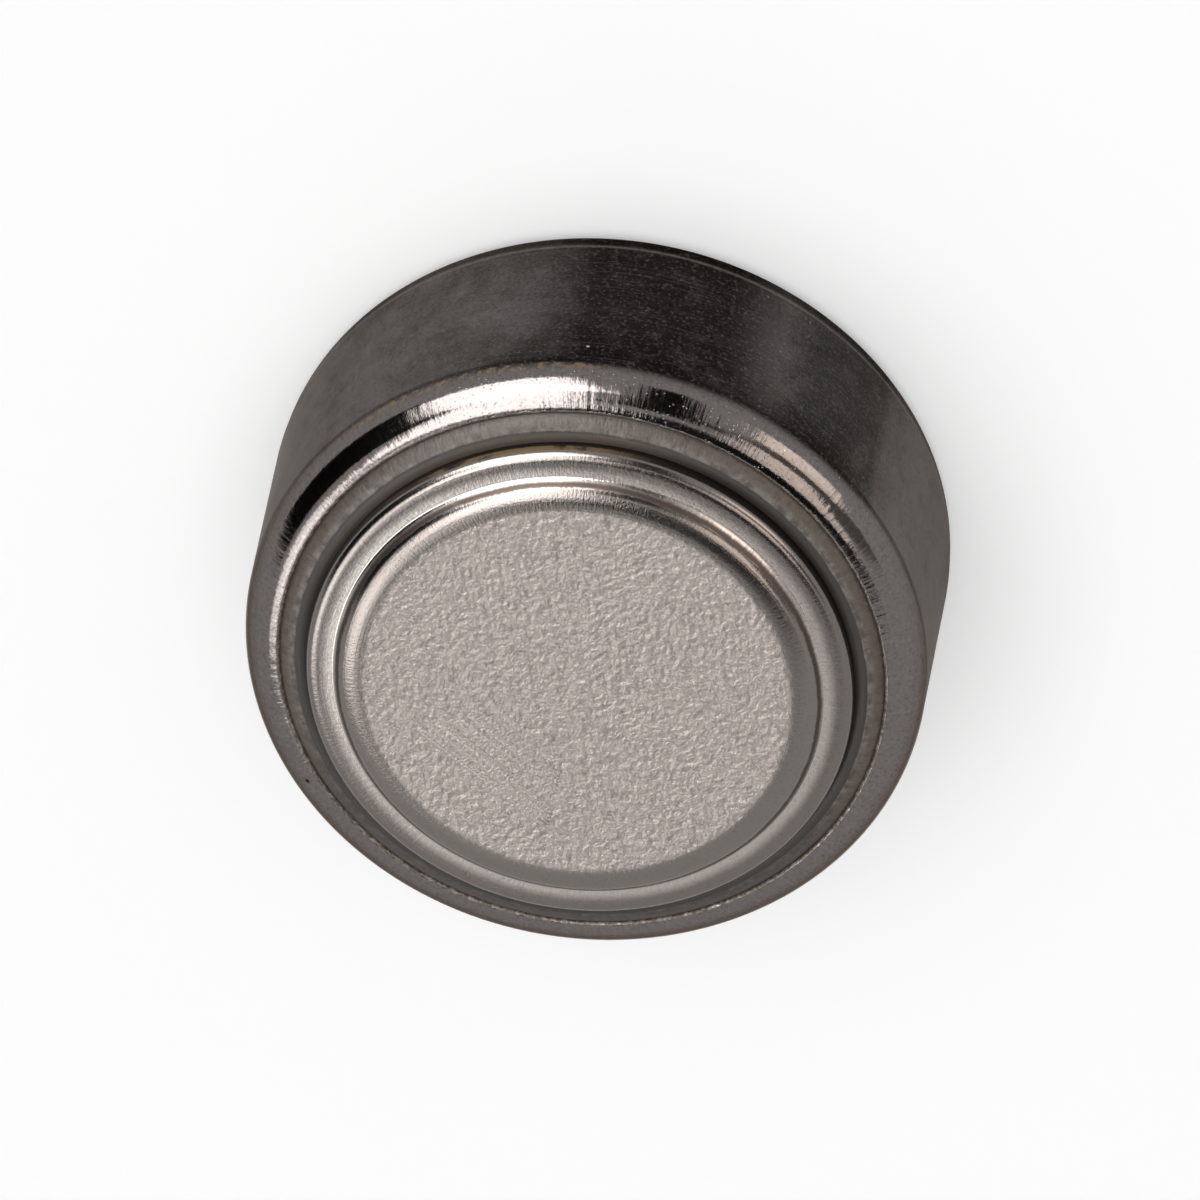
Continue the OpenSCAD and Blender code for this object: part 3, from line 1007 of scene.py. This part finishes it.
def facing(direction: tuple[float, float, float], up: tuple[float, float, float],
           target: Vector, distance: float) -> Matrix:
    """Where something stands that faces a target.

    Args:
        direction: The way from the target to it.
        up: Which way its own Y axis points, roughly.
        target: The point that it faces.
        distance: How far it is from the target, in metres.

    Returns:
        Its world matrix.
    """
    back = Vector(direction).normalized()
    right = Vector(up).cross(back).normalized()
    turn = Matrix((right, back.cross(right), back)).transposed().to_4x4()
    return Matrix.Translation(target + back * distance) @ turn


class Use(Enum):
    """What a lamp is there for."""

    GLINT = "shows as a reflection in metal and gloss"
    FILL = "lights matte surfaces and casts the soft shadow"


@dataclass(frozen=True)
class Lamp:
    """Soft box, as an area lamp that faces the cell. Its radiance is 1 where white looks white."""

    name: str
    direction: tuple[float, float, float]
    up: tuple[float, float, float]
    width: float
    height: float
    distance: float
    radiance: float
    colour: str = "#ffffff"
    use: Use = Use.GLINT

    def place(self, target: Vector) -> None:
        """Adds the lamp, facing a target."""
        data = bpy.data.lights.new(self.name, "AREA")
        data.shape = "RECTANGLE"
        data.size = self.width
        data.size_y = self.height
        data.color = linear(self.colour)[:3]
        data.energy = self.radiance * math.pi * self.width * self.height
        lamp = bpy.data.objects.new(self.name, data)
        bpy.context.scene.collection.objects.link(lamp)
        lamp.matrix_world = facing(self.direction, self.up, target, self.distance)
        lamp.visible_camera = False
        lamp.visible_glossy = self.use is Use.GLINT
        lamp.visible_diffuse = self.use is Use.FILL


@dataclass(frozen=True)
class Flag:
    """Card, darker than the surround, that shows only as a reflection in the cell."""

    name: str
    direction: tuple[float, float, float]
    up: tuple[float, float, float]
    width: float
    height: float
    distance: float
    shade: str

    def place(self, target: Vector) -> None:
        """Adds the card, facing a target."""
        clear_selection()
        bpy.ops.mesh.primitive_plane_add(size=1.0)
        card = bpy.context.active_object
        card.name = card.data.name = self.name
        card.matrix_world = (facing(self.direction, self.up, target, self.distance)
                             @ Matrix.Diagonal((self.width, self.height, 1.0, 1.0)))
        material, tree = new_material("dark_card")
        glow = add(tree, "Emission", {"Color": linear(self.shade)})
        add(tree, "OutputMaterial", {"Surface": glow.outputs[0]})
        card.data.materials.append(material)
        card.visible_camera = card.visible_diffuse = card.visible_shadow = False


def seen_plainly(tree: bpy.types.NodeTree) -> Socket:
    """1 for rays from the camera, a mirror or glass, which all see the plain background, else 0."""
    path = add(tree, "LightPath")
    seen = path.outputs["Is Camera Ray"]
    for name in ("Is Glossy Ray", "Is Transmission Ray"):
        seen = add(tree, "Math", {0: seen, 1: path.outputs[name]}, operation="MAXIMUM").outputs[0]
    return seen


@dataclass
class Studio:
    """Pale table, white surround, soft lamps, cards and the camera. Sizes in metres."""

    tilt: float = 34.0
    roll: float = 191.87
    frame_w: float = 20.33 * MM
    distance: float = 0.7
    target: tuple[float, float, float] = (-0.00006, 0.0, 0.00254)
    table_w: float = 1.2
    table_z: float = -0.02 * MM  # a hair under the cell, so that the two share no plane
    table_shade: str = "#dcdcdc"
    table_lift: float = 0.36  # glow that makes the table as pale as the surround
    surround_light: float = 0.35  # the surround as a source of light, where 1 is how it looks

    def world(self) -> None:
        """White surround for the camera and for reflections, dimmer as a source of light."""
        world = bpy.data.worlds.new("studio")
        bpy.context.scene.world = world
        world.use_nodes = True
        tree = world.node_tree
        tree.nodes.clear()
        strength = add(tree, "MapRange", {"Value": seen_plainly(tree),
                                          "To Min": self.surround_light, "To Max": 1.0})
        surround = add(tree, "Background", {"Color": linear("#ffffff"),
                                            "Strength": strength.outputs[0]})
        add(tree, "OutputWorld", {"Surface": surround.outputs[0]})

    def table(self) -> None:
        """Pale table top under the cell."""
        clear_selection()
        bpy.ops.mesh.primitive_plane_add(size=self.table_w, location=(0, 0, self.table_z))
        table = bpy.context.active_object
        table.name = table.data.name = "table"
        material, tree = new_material("matte_white_card")
        card = add(tree, "BsdfDiffuse", {"Color": linear(self.table_shade)})
        lift = add(tree, "Math", {0: seen_plainly(tree), 1: self.table_lift},
                   operation="MULTIPLY")
        glow = add(tree, "Emission", {"Color": linear("#ffffff"), "Strength": lift.outputs[0]})
        both = add(tree, "AddShader", {0: card.outputs[0], 1: glow.outputs[0]})
        add(tree, "OutputMaterial", {"Surface": both.outputs[0]})
        table.data.materials.append(material)

    def lamps(self) -> None:
        """Soft lamps and cards, placed for where the metal's bright and dark bands fall."""
        target = Vector(self.target)
        for light in (
                Lamp("overhead", (0.15, -0.2, 1.0), (0.0, 1.0, 0.0), 0.7, 0.7, 0.6, 1.8,
                     use=Use.FILL),
                Lamp("key_strip", (0.359, -0.299, 0.884), (-0.277, 0.961, 0.003), 0.166, 0.56, 0.4,
                     7.0),
                Lamp("key_end", (0.36, 0.48, 0.8), (-0.2, 0.9, 0.0), 0.1, 0.12, 0.4, 4.0),
                Lamp("key_rear", (0.2, 0.5, 0.84), (-0.2, 0.9, 0.0), 0.09, 0.09, 0.4, 2.2),
                Lamp("key_foot", (0.542, -0.668, 0.51), (-0.35, 0.371, 0.86), 0.304, 0.298, 0.4,
                     7.0),
                Lamp("low_warm", (-0.713, -0.623, 0.323), (-0.099, 0.122, 0.988), 0.19, 0.22, 0.4,
                     2.9, "#fff3e6"),
                Lamp("high_warm", (-0.416, -0.131, 0.9), (0.361, 0.884, 0.296), 0.128, 0.255, 0.4,
                     2.9, "#fff6ee"),
                Flag("left_flag", (0.889, -0.041, 0.455), (-0.431, 0.258, 0.865), 0.507, 0.553,
                     0.55, "#1e1c1c"),
                Flag("front_flag", (-0.116, -0.721, 0.684), (0.098, 0.676, 0.73), 0.153, 0.84,
                     0.55, "#1e1d1e"),
                Flag("top_flag", (-0.177, 0.202, 0.963), (-0.461, 0.848, -0.263), 0.35, 0.254,
                     0.57, "#262526"),
                Flag("right_flag", (-0.608, -0.299, 0.735), (0.705, 0.221, 0.674), 0.376, 0.49,
                     0.59, "#9c9894")):
            light.place(target)

    def camera(self) -> None:
        """Long lens, tilted from the cell's axis and rolled."""
        data = bpy.data.cameras.new("camera")
        data.lens = data.sensor_width * self.distance / self.frame_w
        data.clip_start = 0.01
        data.clip_end = 10.0
        camera = bpy.data.objects.new("camera", data)
        bpy.context.scene.collection.objects.link(camera)
        tilt = Matrix.Rotation(math.radians(self.tilt), 4, "X")
        roll = Matrix.Rotation(math.radians(self.roll), 4, "Z")
        back = tilt @ Vector((0.0, 0.0, self.distance))
        camera.matrix_world = Matrix.Translation(Vector(self.target) + back) @ tilt @ roll
        bpy.context.scene.camera = camera

    def build(self) -> None:
        """Sets up the whole studio."""
        self.world()
        self.table()
        self.lamps()
        self.camera()
        settings = bpy.context.scene.view_settings
        settings.view_transform = "Standard"


def main() -> None:
    """Builds the cell's pieces and the studio round them."""
    logging.basicConfig(level=logging.INFO, format="%(name)s: %(message)s")
    can = PositiveCan()
    cap = NegativeCap(can)
    can.build()
    cap.build()
    SealingGasket(can, cap).build()
    for node, filling in FILLINGS.items():
        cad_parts[node].data.materials.clear()
        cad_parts[node].data.materials.append(filling.make())
        log.info("%s: dressed as %s", node, filling.name)
    Studio().build()


if __name__ == "__main__":
    main()
